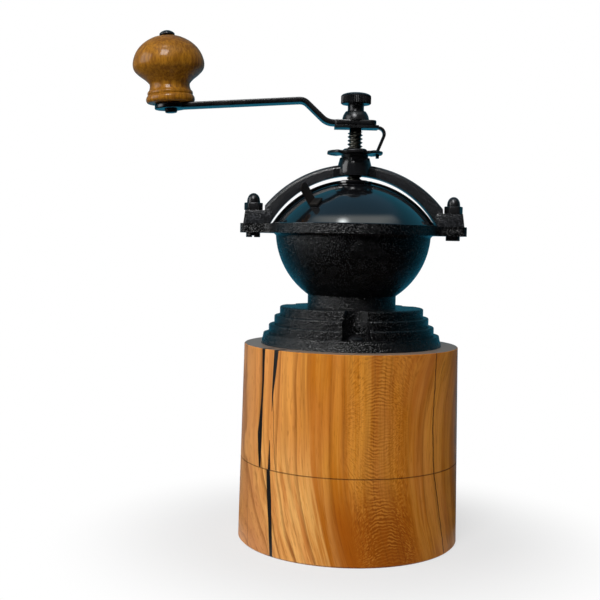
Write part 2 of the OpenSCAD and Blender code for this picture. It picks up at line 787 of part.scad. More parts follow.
// Fixed rear half of the cover with the hem in the rim's seat
module dome_cover() color([0.03, 0.03, 0.04]) {
  dome_shell(dome_r, land_z, hem_z + hem_h - slit, -overlap_a, 180 + overlap_a, eyelet_out + fit_gap);
  difference() {
    bar(hem_r, hem_z, hem_z + hem_h);
    bar(hem_in, 0, far);
  }
}

// Hollow rivet that holds the door and lets the spindle through
module dome_eyelet() color([0.05, 0.05, 0.05]) difference() {
  union() {
    bar(eyelet_out, eyelet_low - sheet, land_z + eyelet_h);
    bar(eyelet_out + eyelet_lip, land_z, land_z + eyelet_h);
    bar(eyelet_out + eyelet_lip, eyelet_low - sheet, eyelet_low);
  }
  bar(eyelet_r, 0, far);
}

// Sliding front half of the cover
module dome_door() color([0.03, 0.03, 0.04])
  dome_shell(door_r, door_land, door_foot, -180 - overlap_a, overlap_a, eyelet_out + door_gap / 2);

// Finger tab on the door: a foot on the sheet and an upright
module door_tab() color([0.10, 0.08, 0.07])
  rotate([0, 0, tab_a]) translate([0, 0, dome_z]) rotate([0, -tab_el, 0])
    translate([door_r + fit_gap, 0, 0]) {
      translate([0, -tab_t / 2, -tab_w / 2]) cube([tab_l - tab_w / 2, tab_t, tab_w]);
      translate([tab_l - tab_w / 2, 0, 0]) rotate([90, 0, 0])
        cylinder(d = tab_w, h = tab_t, center = true);
      translate([0, -tab_t / 2, -tab_w / 2]) cube([tab_t, tab_w + tab_t / 2, tab_w]);
    }

// A slanted V groove along a cone's side
module groove(r0, z0, r1, z1, w, slant) {
  d = [r1 - r0, z1 - z0];
  translate([(r0 + r1) / 2, 0, (z0 + z1) / 2])
    rotate([0, atan2(d[0], d[1]), 0]) rotate([slant, 0, 0]) rotate([0, 0, 45])
      cube([w, w, norm(d) + groove_run], center = true);
}

// Toothed ring that stays still
module outer_burr() color([0.35, 0.35, 0.37]) difference() {
  bar(burr_r, skirt_z, burr_top);
  translate([0, 0, skirt_z])
    cylinder(r1 = ring_low_r, r2 = ring_top_r, h = burr_top - skirt_z);
  for (k = [0 : ring_teeth - 1])
    rotate([0, 0, k * 360 / ring_teeth])
      groove(ring_low_r, skirt_z, ring_top_r, burr_top, groove_w, groove_a / 2);
}

// Toothed cone that turns with the spindle
module inner_burr() color([0.38, 0.38, 0.40]) difference() {
  rotate_extrude()
    polygon([[0, cone_z], [cone_r, cone_z], [band_r, band_z], [cone_top_r, cone_top - 2 * cone_chamfer],
             [cone_top_r - cone_chamfer, cone_top], [0, cone_top]]);
  bar(shaft_r + fit_gap, 0, far);
  for (k = [0 : fine_teeth - 1])
    rotate([0, 0, k * 360 / fine_teeth])
      groove(cone_r, cone_z, band_r, band_z, groove_w, -groove_a);
  for (k = [0 : flutes - 1])
    rotate([0, 0, (k + 0.5) * 360 / flutes])
      groove(band_r, band_z + over, cone_top_r, cone_top, flute_w, -groove_a);
  translate([0, 0, pin_z]) rotate([90, 0, 0])
    cylinder(r = pin_r + fit_gap, h = far, center = true);
}

// Cross pin between cone and spindle
module burr_pin() color([0.55, 0.55, 0.56]) translate([0, 0, pin_z]) rotate([90, 0, 0])
  cylinder(r = pin_r, h = 2 * (cone_top_r - cone_chamfer), center = true);

// Three-armed bearing that clamps the outer burr
module lower_bearing() color([0.12, 0.12, 0.13]) difference() {
  union() {
    difference() {
      bar(skirt_r, bearing_z, skirt_z);
      bar(ring_low_r + bearing_step, 0, far);
    }
    bar(hub_r, hub_z, skirt_z);
    for (a = plate_a)
      rotate([0, 0, a]) translate([0, -arm_w / 2, bearing_z])
        cube([(ring_low_r + skirt_r) / 2, arm_w, bearing_t]);
  }
  bar(shaft_r + run_gap + bush_t, 0, far);
  around(inner_a, bearing_screw_c, 0) cylinder(r = screw_r + hole_gap, h = far);
}

// Bush of the lower bearing
module lower_bush() color([0.62, 0.48, 0.24]) difference() {
  bar(shaft_r + run_gap + bush_t - fit_gap, hub_z, skirt_z);
  bar(shaft_r + run_gap, 0, far);
}

// Three screws of the lower bearing
module bearing_screws() color([0.55, 0.55, 0.56]) around(inner_a, bearing_screw_c, bearing_z)
  machine_screw(screw_r, bearing_t + bearing_grip, screw_head_r, screw_head_h);

// Notched wheel that sets the grind
module adjuster_wheel() color([0.09, 0.09, 0.10]) difference() {
  union() {
    bar(wheel_r, flange_z, flange_z + wheel_t);
    bar(wheel_hub_r, wheel_z, flange_z + slit);
    translate([0, 0, flange_z + wheel_t - slit])
      cylinder(r1 = wheel_hub_r, r2 = shaft_r + collar_w, h = collar_h);
  }
  for (k = [0 : notch_count - 1])
    rotate([0, 0, k * 360 / notch_count]) translate([notch_r + notch_w / 2, 0, flange_z - over]) {
      cylinder(d = notch_w, h = wheel_t + 2 * over);
      translate([0, -notch_w / 2, 0]) cube([far, notch_w, wheel_t + 2 * over]);
    }
  bar(shaft_r + run_gap, 0, far);
}

// Threaded spindle with its squares and stud
module drive_shaft() color([0.14, 0.14, 0.15]) difference() {
  union() {
    bar(shaft_r, hub_z - shaft_end, shoulder_z);
    intersection() {
      translate([-shoulder_w / 2, -shoulder_w / 2, shoulder_z])
        cube([shoulder_w, shoulder_w, shoulder_h]);
      bar(shaft_r, 0, far);
    }
    translate([-square_w / 2, -square_w / 2, clip_z - slit])
      cube([square_w, square_w, clip_t + arm_t + slit]);
    bar(stud_r, crank_top - slit, crank_top + stud_l);
  }
  translate([0, 0, pin_z]) rotate([90, 0, 0])
    cylinder(r = pin_r + fit_gap, h = far, center = true);
}

// Spring clip that locks the grind wheel to the crank
module locking_clip() color([0.07, 0.07, 0.08]) difference() {
  union() {
    translate([-clip_back, -clip_w / 2, clip_z]) cube([clip_back + clip_reach, clip_w, clip_t]);
    translate([0, 0, clip_z + clip_t / 2]) rotate([90, 0, 0])
      linear_extrude(finger_w, center = true) strip(clip_path, clip_t);
  }
  translate([0, 0, clip_z])
    cube([square_w + 2 * fit_gap, square_w + 2 * fit_gap, 4 * clip_t], center = true);
}

// Outline of the crank from above
module crank_outline() {
  translate([-crank_len, -crank_w / 2]) square([crank_len, crank_w]);
  translate([-crank_len, 0]) circle(eye_r);
  translate([-crank_w, -crank_end_w / 2]) square([crank_w + crank_back - crank_round, crank_end_w]);
  translate([-crank_w, -crank_end_w / 2 + crank_round])
    square([crank_w + crank_back, crank_end_w - 2 * crank_round]);
  for (t = [-1, 1])
    translate([crank_back - crank_round, t * (crank_end_w / 2 - crank_round)]) circle(crank_round);
}

// Places its children on the arm's upper face under the knob, square to the drooping arm
module on_knob_axis() {
  translate([-crank_len, 0, crank_z + arm_t / 2 + run_at(-crank_len)])
    rotate([0, -droop, 0]) translate([0, 0, arm_t / 2]) children();
}

// Joggled flat crank
module crank_arm() color([0.07, 0.07, 0.08]) difference() {
  intersection() {
    translate([0, 0, crank_z + arm_t / 2]) rotate([90, 0, 0])
      linear_extrude(4 * eye_r, center = true) strip(crank_path, arm_t);
    linear_extrude(far) crank_outline();
  }
  translate([0, 0, crank_z])
    cube([square_w + 2 * fit_gap, square_w + 2 * fit_gap, 4 * arm_t], center = true);
  on_knob_axis() cylinder(r = knob_pin_r + fit_gap, h = 4 * arm_t, center = true);
}

// Knurled nut that clamps the crank
module thumb_nut() color([0.08, 0.08, 0.09]) translate([0, 0, crank_top]) difference() {
  neck_z = skirt_nut_h + neck_nut_h;
  crown_r = (pow(head_nut_r, 2) + pow(crown_h, 2)) / (2 * crown_h);
  union() {
    intersection() {
      sphere(skirt_nut_r);
      cylinder(r = far, h = skirt_nut_h);
    }
    cylinder(r = neck_nut_r, h = neck_z + over);
    translate([0, 0, neck_z]) cylinder(r1 = head_nut_r - nut_chamfer, r2 = head_nut_r, h = nut_chamfer);
    translate([0, 0, neck_z + nut_chamfer]) cylinder(r = head_nut_r, h = head_nut_h - nut_chamfer);
    translate([0, 0, neck_z + head_nut_h]) intersection() {
      translate([0, 0, crown_h - crown_r]) sphere(crown_r);
      cylinder(r = head_nut_r, h = far);
    }
  }
  translate([0, 0, -over]) cylinder(r = stud_r + fit_gap, h = over + stud_l + tap_end);
}

// Half outline of the knob: foot, bead, neck, conical underside and a domed crown
module knob_outline() {
  crown = knob_h - knob_mid;
  lip_r = knob_foot_h / 2;
  translate([0, knob_gap]) square([knob_foot_r - lip_r, knob_foot_h]);
  translate([knob_foot_r - lip_r, knob_gap + lip_r]) circle(lip_r);
  translate([0, knob_gap + knob_foot_h - slit]) square([knob_bead_r - knob_bead_h / 2, knob_bead_h]);
  translate([knob_bead_r - knob_bead_h / 2, knob_gap + knob_foot_h + knob_bead_h / 2])
    circle(knob_bead_h / 2);
  polygon([[0, knob_gap + knob_foot_h], [knob_neck_r, knob_gap + knob_foot_h],
           [knob_neck_r, knob_neck_h], [knob_r - knob_edge, knob_mid - knob_edge_h],
           [knob_r, knob_mid], [0, knob_mid]]);
  translate([0, knob_mid]) intersection() {
    scale([knob_r / crown, 1]) circle(crown);
    square(far);
  }
}

// Turned wooden knob
module knob() color([0.45, 0.24, 0.09]) on_knob_axis() difference() {
  rotate_extrude() intersection() {
    knob_outline();
    square(far);
  }
  translate([0, 0, -over]) cylinder(r = knob_pin_r + knob_play, h = far);
}

// Pin of the knob, domed on top and riveted below the arm
module knob_pin() color([0.12, 0.12, 0.12]) on_knob_axis() {
  translate([0, 0, -arm_t]) cylinder(r = knob_pin_r, h = arm_t + knob_h + knob_gap);
  translate([0, 0, -arm_t - rivet_h]) cylinder(r1 = rivet_r - rivet_taper, r2 = rivet_r, h = rivet_h);
  translate([0, 0, knob_h + knob_gap - slit]) intersection() {
    cylinder(r = pin_head_r, h = pin_head_h);
    translate([0, 0, pin_head_h - pin_crown_r]) sphere(pin_crown_r);
  }
}

catch_cup();
cup_resin();
mill_body();
body_resin();
base_plate();
base_screws();
hopper_bowl();
bowl_screws();
bridge_arch();
bridge_bolts();
acorn_nuts();
dome_cover();
dome_eyelet();
dome_door();
door_tab();
outer_burr();
lower_bearing();
lower_bush();
bearing_screws();
adjuster_wheel();
drive_shaft();
inner_burr();
burr_pin();
locking_clip();
crank_arm();
thumb_nut();
knob();
knob_pin();
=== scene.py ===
import json
import math
import bpy
from mathutils import Matrix, Vector

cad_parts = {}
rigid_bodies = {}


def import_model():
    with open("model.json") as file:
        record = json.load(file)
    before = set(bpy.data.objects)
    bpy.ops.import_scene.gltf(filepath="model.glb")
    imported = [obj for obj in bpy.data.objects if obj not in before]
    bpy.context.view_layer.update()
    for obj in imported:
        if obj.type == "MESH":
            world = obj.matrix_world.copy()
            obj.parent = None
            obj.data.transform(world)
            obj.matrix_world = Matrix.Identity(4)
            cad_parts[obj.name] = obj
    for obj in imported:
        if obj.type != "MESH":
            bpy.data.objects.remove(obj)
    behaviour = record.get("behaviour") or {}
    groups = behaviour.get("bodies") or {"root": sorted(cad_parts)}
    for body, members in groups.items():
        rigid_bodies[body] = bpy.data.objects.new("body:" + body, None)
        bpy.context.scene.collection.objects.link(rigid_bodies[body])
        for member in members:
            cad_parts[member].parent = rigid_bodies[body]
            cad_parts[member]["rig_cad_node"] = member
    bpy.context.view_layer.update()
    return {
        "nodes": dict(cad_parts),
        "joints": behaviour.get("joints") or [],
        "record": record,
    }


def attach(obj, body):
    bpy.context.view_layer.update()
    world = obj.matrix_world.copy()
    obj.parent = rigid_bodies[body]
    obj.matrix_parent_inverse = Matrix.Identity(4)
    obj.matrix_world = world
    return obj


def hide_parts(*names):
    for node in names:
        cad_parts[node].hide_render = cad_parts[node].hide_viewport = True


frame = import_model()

cadNodes = frame["nodes"]
bodyOf = {node: body for body, members in frame["record"]["behaviour"]["bodies"].items()
          for node in members}
slotOf = {row["node"]: row["material_slot"] for row in frame["record"]["subparts"]}
mm = 0.001
weld = 0.002 * mm  # points nearer than this become one
gentle = 30        # turns of fewer degrees look smooth


def reach(node):  # lowest and highest corner of a CAD node, in mm
    corners = [Vector(corner) / mm for corner in cadNodes[node].bound_box]
    return [Vector([limit(values) for values in zip(*corners)]) for limit in (min, max)]


# the camera stands where the rims of the turned wood say, in mm and degrees
cameraPlace = {"at": (-34.0, -555.7, 161.4), "pan": 0.552, "pitch": -3.084, "roll": 1.13,
               "lens": 60.13, "sensor": 36, "nearest": 10}


def placeCamera(place):
    pan, pitch, roll = (math.radians(place[key]) for key in ("pan", "pitch", "roll"))
    ahead = Vector((math.sin(pan) * math.cos(pitch), math.cos(pan) * math.cos(pitch), math.sin(pitch)))
    right = ahead.cross(Vector((0, 0, 1))).normalized()
    up = right.cross(ahead)
    across = right * math.cos(roll) + up * math.sin(roll)
    upright = up * math.cos(roll) - right * math.sin(roll)
    bpy.ops.object.camera_add()
    camera = bpy.context.object
    camera.matrix_world = Matrix.Translation(Vector(place["at"]) * mm) @ Matrix(
        (across, upright, -ahead)).transposed().to_4x4()
    camera.data.lens = place["lens"]
    camera.data.sensor_width = place["sensor"]
    camera.data.clip_start = place["nearest"] * mm
    bpy.context.scene.camera = camera


placeCamera(cameraPlace)
print("camera placed")


class Wire:  # a socket that takes part in sums
    def __init__(self, board, socket):
        self.board, self.socket = board, socket

    def sum(self, operation, other=0.0, swapped=False):
        first, second = (other, self) if swapped else (self, other)
        return self.board.node("Math", {"operation": operation}, {0: first, 1: second})

    def __add__(self, other): return self.sum("ADD", other)
    def __radd__(self, other): return self.sum("ADD", other)
    def __sub__(self, other): return self.sum("SUBTRACT", other)
    def __rsub__(self, other): return self.sum("SUBTRACT", other, True)
    def __mul__(self, other): return self.sum("MULTIPLY", other)
    def __rmul__(self, other): return self.sum("MULTIPLY", other)
    def __truediv__(self, other): return self.sum("DIVIDE", other)
    def __rtruediv__(self, other): return self.sum("DIVIDE", other, True)
    def __pow__(self, other): return self.sum("POWER", other)
    def __abs__(self): return self.sum("ABSOLUTE")
    def clamped(self): return self.sum("MAXIMUM", 0.0).sum("MINIMUM", 1.0)


class Board:  # a node tree and the ways to fill it
    def __init__(self, tree):
        self.tree = tree

    def node(self, kind, settings=None, sockets=None, out=0):
        made = self.tree.nodes.new("ShaderNode" + kind)
        for key, value in (settings or {}).items():
            setattr(made, key, value)
        for key, value in (sockets or {}).items():
            self.feed(made.inputs[key], value)
        return Wire(self, made.outputs[out])

    def feed(self, target, value):
        if isinstance(value, Wire):
            self.tree.links.new(value.socket, target)
        else:
            target.default_value = value

    def inMm(self):  # the object's own coordinates in millimetres
        place = self.node("TexCoord", out="Object")
        return self.node("VectorMath", {"operation": "SCALE"}, {0: place, "Scale": 1 / mm})

    def split(self, place):
        apart = self.node("SeparateXYZ", sockets={0: place}).socket.node
        return [Wire(self, apart.outputs[k]) for k in range(3)]

    def gather(self, x, y, z):
        return self.node("CombineXYZ", sockets={0: x, 1: y, 2: z})

    def stretch(self, place, factors):
        return self.node("VectorMath", {"operation": "MULTIPLY"}, {0: place, 1: factors})

    def noise(self, place, scale, detail, rough=0.5):
        return self.node("TexNoise", {}, {"Vector": place, "Scale": scale, "Detail": detail,
                                          "Roughness": rough})

    def rise(self, value, low, high):  # 0 below low, 1 above high, soft between
        return self.node("MapRange", {"interpolation_type": "SMOOTHSTEP"},
                         {"Value": value, "From Min": low, "From Max": high})

    def fall(self, value, low, high):  # 1 below low, 0 above high
        return 1 - self.rise(value, low, high)

    def within(self, value, start, end):  # 1 between two soft edges
        return self.rise(value, *start) * self.fall(value, *end)

    def blend(self, share, first, second):  # of two colours
        return self.node("Mix", {"data_type": "RGBA"}, {0: share, 6: first, 7: second}, 2)

    def seenRays(self):  # 1 for rays of the camera, of mirrors and of glass
        path = self.node("LightPath").socket.node
        kinds = ("Is Camera Ray", "Is Glossy Ray", "Is Transmission Ray")
        seen = [Wire(self, path.outputs[kind]) for kind in kinds]
        return seen[0].sum("MAXIMUM", seen[1]).sum("MAXIMUM", seen[2])


class Finish(Board):  # a surface: fixed values go on the shader, the rest is wired in
    def __init__(self, name, **fixed):
        self.material = bpy.data.materials.new(name)
        self.material.use_nodes = True
        super().__init__(self.material.node_tree)
        self.shader = self.tree.nodes["Principled BSDF"]
        for key, value in fixed.items():
            self.shader.inputs[key.replace("_", " ")].default_value = value

    def put(self, **wires):
        for key, value in wires.items():
            self.feed(self.shader.inputs[key.replace("_", " ")], value)

    def relief(self, height, depth, strength):  # depth in mm
        bump = self.node("Bump", {}, {"Height": height, "Strength": strength, "Distance": depth * mm})
        self.put(Normal=bump)

    def cover(self, surface):  # another surface in place of the shader
        self.feed(self.tree.nodes["Material Output"].inputs["Surface"], surface)


def spread(x, y):  # distance from the middle
    return (x * x + y * y) ** 0.5


woodGrain = {
    "facing": -78.5,       # direction of the figured strip, degrees
    "upright": 62.0,       # height above which the lines stand upright
    "lean": 0.0026,        # how fast they lean to the right below it
    "part": 0.005,         # how fast the right ones part above it
    "ring": 2.5,           # width of a year ring
    "bowl": 130.0,         # roundness of the rings against the turned skin
    "front": (5.0, 30.0),  # how far towards the viewer the strip comes in
    "stripOff": 0.8,       # how far the strip's middle lies to the left of that direction
    "stripEdge": 6.6,      # distance of the strip's dark edges from its middle
    "ripple": 1.75,        # spacing of the ripples in the strip
    "bow": 0.045,          # curve of the ripples
    "bowZero": 74.0,       # height at which they lie straight
    "bowLong": 78.0,       # height over which the curve turns over and back
    "seam": reach("catch_cup")[1].z,  # height of the joint between cup and block
    # soft edges of the zones in mm: off the strip's middle, to the right of it, or upwards (Top)
    "core": (2.5, 9.5), "flank": ((3.5, 9.0), (12.0, 20.0)), "parting": (4.0, 34.0),
    # painted light on the left: the rosy and tan zones are painted sheen, the grey zone is painted shade with a
    # grey reflection along the far left edge
    "rosyLeft": (-58.0, -44.0), "tanLeft": (-46.0, -28.0), "greyLeft": (-62.0, -50.0),
    "warmBand": ((-40.0, -30.0), (-22.0, -12.0)),
    "honeyBand": ((-40.0, -24.0), (6.0, 26.0)), "honeyTop": (18.0, 52.0),
    "creamBand": ((-66.0, -50.0), (-40.0, -22.0)), "creamTop": (30.0, 75.0),
    "calmRight": (26.0, 42.0), "oiledLeft": (-52.0, -14.0), "oiledRight": (42.0, 56.0),
    # tones; the grey one is painted light: a painted reflection on the top faces, painted shade with a grey
    # reflection at the far left edge
    "pale": (0.65, 0.270, 0.035, 1), "warm": (0.42, 0.125, 0.003, 1), "deep": (0.15, 0.032, 0.0005, 1),
    "cream": (0.76, 0.42, 0.125, 1), "honey": (0.33, 0.078, 0.0005, 1), "rosy": (0.54, 0.185, 0.050, 1),
    "tan": (0.68, 0.315, 0.100, 1), "line": (0.030, 0.011, 0.004, 1), "endGrain": (0.185, 0.148, 0.120, 1),
}


def woodFinish(name, grain):
    skin = Finish(name, Coat_Roughness=0.30, Coat_IOR=1.4, Specular_IOR_Level=0.08)
    place = skin.inMm()
    x, y, z = skin.split(place)
    turn = math.radians(grain["facing"])
    out = x * math.cos(turn) + y * math.sin(turn)
    wander = (skin.noise(skin.stretch(place, (1, 1, 0.3)), 0.035, 2) - 0.5) * 6
    across = y * math.cos(turn) - x * math.sin(turn) + wander
    below = (grain["upright"] - z).sum("MAXIMUM", 0.0)
    above = (z - grain["upright"]).sum("MAXIMUM", 0.0)
    parting = above * above * grain["part"] * skin.rise(across, *grain["parting"])
    side = across - below * below * grain["lean"] - parting
    deepIn = out * 0.3
    streak = skin.noise(skin.gather(deepIn, side, z * 0.03), 0.30, 3, 0.6)
    fibre = skin.noise(skin.gather(deepIn, side, z * 0.016), 1.15, 4, 0.68)
    broad = skin.noise(skin.gather(deepIn, side, z * 0.10), 0.10, 2)
    tint = skin.noise(skin.gather(deepIn, side, z * 0.22 + 40), 0.075, 2)
    # year rings, each with a dark late edge
    rings = (spread(x, y) - side * side / grain["bowl"] + broad * 4) / grain["ring"]
    year = skin.node("TexWhiteNoise", {"noise_dimensions": "1D"}, {"W": rings.sum("FLOOR")})
    late = skin.within(rings.sum("FRACT"), (0.45, 0.93), (0.94, 1.0))
    # figured strip: bowed ripples in its middle, slanting flecks on both flanks
    front = skin.rise(out, *grain["front"])
    offStrip = abs(side + grain["stripOff"])
    bow = ((z - grain["bowZero"]) * (2 * math.pi / grain["bowLong"])).sum("SINE") * grain["bow"]
    bowed = z + side * side * bow
    ripples = (bowed * (2 * math.pi / grain["ripple"]) + skin.noise(place, 0.30, 2) * 12).sum("SINE")
    core = skin.fall(offStrip, *grain["core"]) * front
    flank = skin.within(offStrip, *grain["flank"]) * front
    patchy = skin.rise(skin.noise(skin.stretch(place, (1, 1, 0.6)), 0.13, 2), 0.36, 0.58)
    fleck = (skin.noise(skin.gather(deepIn, side * 0.6, bowed), 1.35, 2) - 0.5) * 5.5
    figure = ripples * core * (patchy * 0.7 + 0.3) + fleck * flank * (patchy * 0.5 + 0.5)
    edge = skin.fall(abs(offStrip - grain["stripEdge"] + (fibre - 0.5) * 5), 0.3, 1.4) * front
    # pores, brown lines, the seam, and the upward faces, which get a painted grey reflection
    pores = skin.rise(skin.noise(skin.gather(deepIn, side, z * 0.07), 2.0, 1), 0.58, 0.70)
    brown = skin.rise(skin.noise(skin.gather(deepIn, side, z * 0.010), 0.50, 2), 0.55, 0.72)
    seam = skin.fall(abs(z - grain["seam"]), 0.15, 0.5)
    around = y.sum("ARCTAN2", x) * (180 / math.pi)
    up = skin.split(skin.node("NewGeometry", out="Normal"))[2]
    cut = skin.rise(up, 0.80, 0.97)
    # honey low in the middle, cream low on the left, calm grain towards the right edge
    low = skin.fall(z, *grain["honeyTop"]) * skin.within(side, *grain["honeyBand"])
    bright = skin.fall(z, *grain["creamTop"]) * skin.within(side, *grain["creamBand"])
    calm = skin.rise(side, *grain["calmRight"])
    # tones laid over each other in this order, each with its share
    layers = [
        # rosy at random, and at the far left also a painted sheen
        (skin.rise(tint, 0.34, 0.70) * 0.42 + skin.fall(side, *grain["rosyLeft"]) * 0.15, "rosy"),
        # tan over the left half: painted sheen
        (skin.fall(side, *grain["tanLeft"]) * 0.36, "tan"),
        (skin.within(side, *grain["warmBand"]) * 0.26, "warm"),
        # grey along the far left edge: painted shade and grey reflection
        (skin.fall(side, *grain["greyLeft"]) * 0.16, "endGrain"),
        (low * 0.92, "honey"),
        (bright * skin.rise(streak, 0.36, 0.62) * 0.75, "cream"),
        (brown * 0.40, "deep"),
        (late * (year * year * 0.62 + 0.08) * (1 - core * 0.8) * (1 - calm * 0.75), "deep"),
        (core * 0.22 + edge * 0.10, "deep"),
        (figure.clamped() * 0.54, "deep"),
        ((figure * -1).clamped() * 0.50, "pale"),
        (skin.rise(fibre, 0.50, 0.74) * 0.30, "deep"),
        (pores * 0.24, "deep"),
        (seam * 0.58, "line"),
        (crackLines(skin, around, z, place), "line"),
        # upward faces painted grey: a painted reflection
        (cut * 0.9, "endGrain"),
    ]
    ground = skin.rise(broad * 0.30 + streak * 0.40 + fibre * 0.30, 0.40, 0.60)
    colour = skin.blend(ground, grain["warm"], grain["pale"])
    for share, tone in layers:
        colour = skin.blend(share, colour, grain[tone])
    # painted sheen by coat: more coat on the left and at the right edge, where a sheen and a grazing reflection
    # are wanted; none in the seam
    left, right = skin.fall(side, *grain["oiledLeft"]), skin.rise(side, *grain["oiledRight"])
    oil = (0.03 + left * 0.16 + right * 0.45 + cut * 0.5) * (1 - seam)
    skin.put(Base_Color=colour, Roughness=0.42 + fibre * 0.12 + cut * 0.2, Coat_Weight=oil)
    skin.relief(fibre * 0.5 - pores * 0.5 + figure * 0.12, depth=0.03, strength=0.3)
    return skin.material


# hairline cracks: (direction in degrees, height in mm) from the foot upwards, half width in mm
cracks = {"skinRadius": 60.0, "wander": 1.6, "over": 1.5, "taper": 0.5, "dark": 0.92,
          "lines": [{"run": ((-35.5, 1), (-45.6, 45), (-47.0, 70), (-44.5, 107)), "half": 0.42},
                    {"run": ((-153.6, 1), (-158.0, 45)), "half": 0.20},
                    {"run": ((-132.0, 46), (-133.5, 60), (-135.0, 84)), "half": 0.17}]}


def crackLines(skin, around, z, place):
    upwards = skin.stretch(place, (0, 0, 1))
    wander = (skin.noise(upwards, 0.16, 3) - 0.5) * cracks["wander"]
    seen = 0.0
    for line in cracks["lines"]:
        (angle, low), *rest = line["run"]
        at, start = angle, skin.rise(z, low - cracks["taper"], low)
        for nextAngle, high in rest:
            share = skin.node("MapRange", {}, {"Value": z, "From Min": low, "From Max": high})
            at = share * (nextAngle - angle) + at
            angle, low = nextAngle, high
        top = low + cracks["over"]
        gap = abs(around - at + wander) * math.radians(cracks["skinRadius"])  # degrees to mm
        thick = skin.noise(upwards, 0.3, 2) * line["half"] + line["half"] * 0.4
        inside = skin.fall(gap / thick, 0.5, 1.4) * start * skin.fall(z, top, top + cracks["taper"])
        seen = inside * cracks["dark"] + seen
    return seen


def castFinish(name, look):  # pebbled powder coat, smooth on a machined boss
    skin = Finish(name, Specular_IOR_Level=look["shine"])
    place = skin.inMm()
    x, y = skin.split(place)[:2]
    rough = skin.rise(spread(x, y), look["smooth"], look["smooth"] + 2)
    grit = skin.noise(place, look["grit"], 0) * rough
    dustAndGlintTips = skin.rise(grit, 0.54, 0.72)
    blotches = skin.noise(place, 0.06, 3)
    # the pebble tips are painted lighter: partly dust, partly painted glints
    skin.put(Base_Color=skin.blend(dustAndGlintTips * (blotches * 0.8 + 0.5), look["low"], look["high"]),
             Roughness=look["rough"] + blotches * 0.10 - dustAndGlintTips * 0.08 - (1 - rough) * 0.12)
    skin.relief(grit, look["depth"], look["strength"])
    return skin.material


# smooth is the radius of the boss in mm, below 0 where there is none
# high is the tone of the lighter pebble tips: dust and painted glints
castLook = {"smooth": -9.0, "grit": 1.65, "depth": 0.42, "strength": 1.0, "rough": 0.22, "shine": 0.33,
            "low": (0.0003, 0.0003, 0.0004, 1), "high": (0.022, 0.0225, 0.024, 1)}
bridgeLook = {"smooth": 11.0, "grit": 1.85, "depth": 0.22, "strength": 0.8, "rough": 0.24, "shine": 0.40,
              "low": (0.007, 0.0074, 0.0085, 1), "high": (0.056, 0.0585, 0.065, 1)}


def enamelFinish(name, look):  # glossy enamel with a faint orange peel
    skin = Finish(name, Coat_Weight=1.0, Coat_Roughness=0.07)
    place = skin.inMm()
    peel = skin.noise(place, 0.35, 2)
    dust = skin.rise(skin.noise(place, 1.1, 3), 0.62, 0.78)
    cloud = skin.noise(place, 0.05, 2)
    skin.put(Base_Color=skin.blend(dust * 0.6 + cloud * 0.4, look["low"], look["high"]),
             Roughness=0.10 + dust * 0.12 + cloud * 0.05)
    skin.relief(peel, depth=0.010, strength=0.3)
    return skin.material


enamelLook = {"low": (0.0034, 0.0036, 0.0044, 1), "high": (0.0062, 0.0064, 0.0072, 1)}


def steelFinish(name, look):  # dark or bare steel with fine brushing and handled spots
    skin = Finish(name, Metallic=look["metal"], Specular_IOR_Level=look["shine"])
    place = skin.inMm()
    brush = skin.noise(skin.stretch(place, look["brush"]), 2.2, 3, 0.6)
    spots = skin.noise(place, 0.11, 3, 0.6)
    tint = skin.rise(spots * 0.65 + brush * 0.35, 0.36, 0.66)
    skin.put(Base_Color=skin.blend(tint, look["low"], look["high"]),
             Roughness=look["rough"] + spots * 0.16 + brush * 0.08)
    skin.relief(brush, depth=0.02, strength=look["strength"])
    return skin.material


blackLook = {"shine": 0.5, "metal": 0.5, "brush": (1, 1, 1), "rough": 0.17, "strength": 0.25,
             "low": (0.006, 0.006, 0.007, 1), "high": (0.024, 0.024, 0.026, 1)}
crankLook = {"shine": 0.5, "metal": 0.0, "brush": (1, 1, 1), "rough": 0.16, "strength": 0.15,
             "low": (0.0012, 0.0012, 0.0015, 1), "high": (0.005, 0.005, 0.006, 1)}
spindleLook = {"shine": 0.5, "metal": 1.0, "brush": (1, 1, 3), "rough": 0.20, "strength": 0.3,
               "low": (0.045, 0.045, 0.040, 1), "high": (0.13, 0.128, 0.112, 1)}
tabLook = {"shine": 0.14, "metal": 0.0, "brush": (1, 1, 1), "rough": 0.46, "strength": 0.25,
           "low": (0.006, 0.0048, 0.0042, 1), "high": (0.013, 0.0105, 0.0088, 1)}
bareLook = {"shine": 0.5, "metal": 1.0, "brush": (3, 3, 1), "rough": 0.22, "strength": 0.3,
            "low": (0.36, 0.36, 0.37, 1), "high": (0.55, 0.55, 0.56, 1)}
burrLook = {"shine": 0.5, "metal": 1.0, "brush": (1, 1, 4), "rough": 0.34, "strength": 0.5,
            "low": (0.14, 0.14, 0.145, 1), "high": (0.26, 0.26, 0.265, 1)}
bronzeLook = {"shine": 0.5, "metal": 1.0, "brush": (1, 1, 4), "rough": 0.3, "strength": 0.4,
              "low": (0.36, 0.20, 0.07, 1), "high": (0.52, 0.32, 0.13, 1)}


def resinFinish(name):  # black resin, sanded flush, with a few pale specks and pits
    skin = Finish(name, Coat_Weight=0.2, Coat_Roughness=0.2, Specular_IOR_Level=0.25)
    place = skin.inMm()
    speck = skin.rise(skin.noise(place, 1.3, 2), 0.71, 0.77)
    skin.put(Base_Color=skin.blend(speck, (0.003, 0.003, 0.003, 1), (0.12, 0.11, 0.09, 1)),
             Roughness=0.35 + skin.noise(place, 0.4, 2) * 0.2)
    skin.relief(speck * -1.0, depth=0.05, strength=0.4)
    return skin.material


knobGrain = {"pale": (0.33, 0.140, 0.009, 1), "deep": (0.155, 0.054, 0.002, 1),
             "line": (0.075, 0.023, 0.001, 1)}


